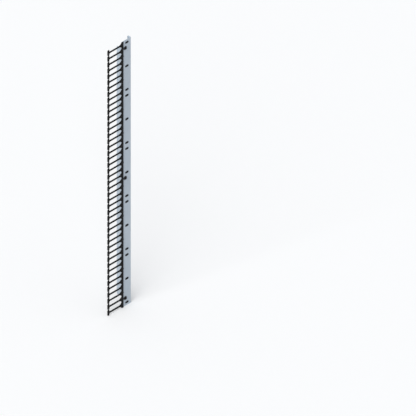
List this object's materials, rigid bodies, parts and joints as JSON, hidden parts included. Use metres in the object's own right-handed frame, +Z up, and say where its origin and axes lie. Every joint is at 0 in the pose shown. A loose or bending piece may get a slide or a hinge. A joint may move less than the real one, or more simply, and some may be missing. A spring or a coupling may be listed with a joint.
{
  "type": "vertical cable manager",
  "caption": "Tall folded-steel channel with rows of T-headed plastic fingers along one edge, strap slots and captive thumb screws, for routing cables up a rack.",
  "frame": {"origin": "on the axis of the middle captive screw, in the plane of the carrier's rear face, which seats on the rack post", "axes": "+Z up along the carrier; -Y out of the front face, the side the cables turn out to; +Y into the rack post, along the studs; the fingers reach towards -X"},
  "size_m": [0.2066, 0.0488, 2.0002],
  "materials": {
    "carrier": "fine-texture powder coat on folded sheet steel, light blue-grey",
    "comb": "moulded black polyamide, fine spark-eroded grain",
    "rivet": "black-coated aluminium blind rivet",
    "stud": "bright zinc-plated steel screw",
    "knob": "moulded black polyamide, satin",
    "washer": "moulded dark grey polyamide, satin"
  },
  "bodies": {
    "root": {"carrier_channel": "carrier", "finger_comb_1": "comb", "comb_rivets_1": "rivet", "finger_comb_2": "comb", "comb_rivets_2": "rivet", "finger_comb_3": "comb", "comb_rivets_3": "rivet", "finger_comb_4": "comb", "comb_rivets_4": "rivet", "finger_comb_5": "comb", "comb_rivets_5": "rivet", "knob_washer_top": "washer", "knob_washer_middle": "washer", "knob_washer_bottom": "washer"},
    "top_screw": {"knob_top": "knob", "stud_top": "stud"},
    "middle_screw": {"knob_middle": "knob", "stud_middle": "stud"},
    "bottom_screw": {"knob_bottom": "knob", "stud_bottom": "stud"}
  },
  "joints": [
    {"name": "top_screw_turn", "type": "hinge", "parent": "root", "child": "top_screw", "pos_m": [0, 0, 0.9779], "axis": [0, 1, 0], "continuous": true},
    {"name": "middle_screw_turn", "type": "hinge", "parent": "root", "child": "middle_screw", "pos_m": [0, 0, 0], "axis": [0, 1, 0], "continuous": true},
    {"name": "bottom_screw_turn", "type": "hinge", "parent": "root", "child": "bottom_screw", "pos_m": [0, 0, -0.9047], "axis": [0, 1, 0], "continuous": true}
  ]
}
